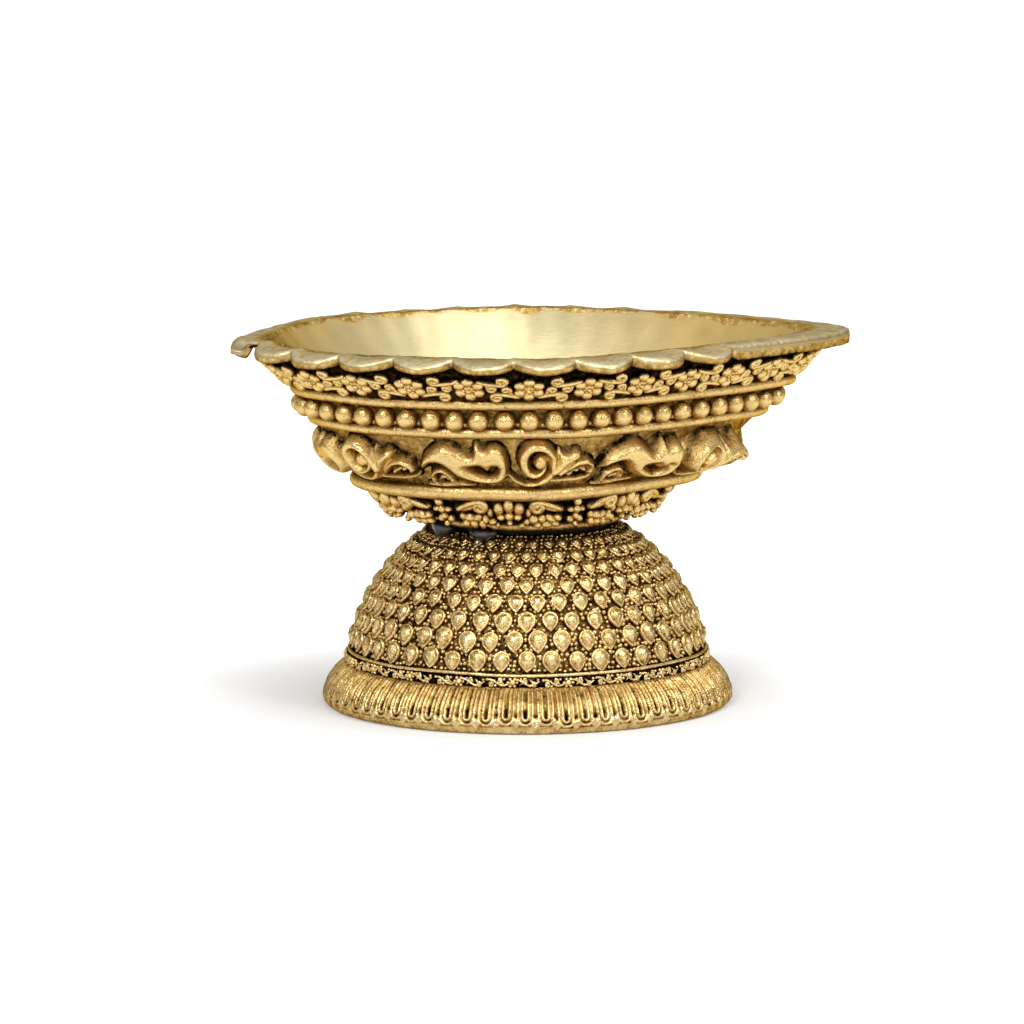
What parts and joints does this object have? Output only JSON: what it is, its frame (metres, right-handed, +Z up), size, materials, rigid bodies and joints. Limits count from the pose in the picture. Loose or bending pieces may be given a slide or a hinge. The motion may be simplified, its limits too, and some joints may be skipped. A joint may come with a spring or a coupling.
{
  "type": "butter lamp",
  "caption": "Leaf-shaped brass butter lamp: open bowl with scalloped lip and wick spout on a hollow domed foot, laid-on flower, bead, scroll and boss ornament.",
  "frame": {"origin": "centre of the base ring's bottom, at floor level on the dome's axis", "axes": "+X to the wick spout, +Z up, the front in the picture towards -Y"},
  "size_m": [0.1151, 0.087, 0.0685],
  "materials": {
    "buffed_brass": "buffed bright inside and on the lip",
    "antique_brass": "antiqued: bright on the high places, dark in the hollows",
    "dark_brass": "dark patina of a sunk ground",
    "solder": "dull dark grey solder",
    "plain_steel": "plain turned steel"
  },
  "bodies": {
    "root": {"base_ring": "antique_brass", "dome_shell": "dark_brass", "vine_band": "antique_brass", "dome_wire": "antique_brass", "boss_row_1": "antique_brass", "boss_row_2": "antique_brass", "boss_row_3": "antique_brass", "boss_row_4": "antique_brass", "boss_row_5": "antique_brass", "boss_row_6": "antique_brass", "boss_row_7": "antique_brass", "boss_row_8": "antique_brass", "neck_collar": "dark_brass", "bowl_foot_ring": "antique_brass", "bowl_stud": "plain_steel", "stud_washer": "plain_steel", "stud_nut": "plain_steel", "solder_tacks": "solder", "bowl_shell": "buffed_brass", "upper_wire": "antique_brass", "middle_wire": "antique_brass", "lower_wire": "antique_brass", "bead_row": "antique_brass", "upper_flower_band": "antique_brass", "scroll_band": "antique_brass", "lower_flower_band": "antique_brass"}
  },
  "joints": []
}
